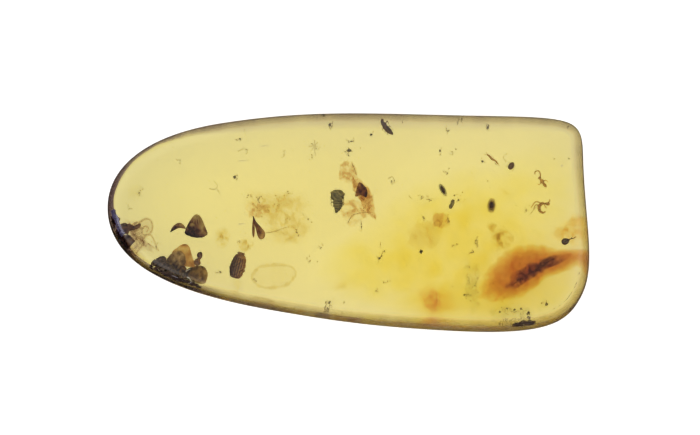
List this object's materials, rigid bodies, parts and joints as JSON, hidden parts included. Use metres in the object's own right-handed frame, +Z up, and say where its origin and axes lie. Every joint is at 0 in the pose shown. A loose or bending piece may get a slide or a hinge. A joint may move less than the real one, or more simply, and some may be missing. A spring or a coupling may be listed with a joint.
{
  "type": "insect in amber",
  "caption": "Flattened, polished piece of clear yellow amber, rounded at one end and square at the other, with small insects and plant scraps sealed inside.",
  "frame": {"origin": "under the middle of the stone, on the surface it lies on", "axes": "+X along the length towards the square end, +Y across the width towards the straighter long side, +Z up through the thickness"},
  "size_m": [0.038, 0.0172, 0.007],
  "materials": {
    "amber": "clear yellow fossil resin, ground and polished",
    "brown_shell": "brown insect shell, half glossy",
    "olive_shell": "olive grey insect shell, half glossy",
    "dark_shell": "near-black insect shell and seed coat",
    "red_scrap": "reddish wing and scale, thin and translucent",
    "bark_scrap": "dark rough bark",
    "leaf_scrap": "dry orange-brown leaf"
  },
  "bodies": {
    "root": {"amber_upper": "amber", "amber_lower": "amber", "beetle": "brown_shell", "stub_bug": "olive_shell", "slender_beetle": "dark_shell", "springtail": "olive_shell", "mite": "dark_shell", "gnat": "brown_shell", "midge": "brown_shell", "pupa": "olive_shell", "cocoon": "olive_shell", "wing_pair": "red_scrap", "wedge_scale": "dark_shell", "crescent_husk": "olive_shell", "stalked_seed": "dark_shell", "frass_rod": "olive_shell", "bark_flap": "bark_scrap", "leaf_scrap": "leaf_scrap", "seed_disc": "bark_scrap", "bud_stalk": "brown_shell", "rim_crumb": "bark_scrap", "husk_roll": "brown_shell", "tip_crumb": "dark_shell", "red_scale": "red_scrap", "leaf_flake": "leaf_scrap", "leaf_blade": "brown_shell", "edge_chip": "dark_shell"}
  },
  "joints": []
}
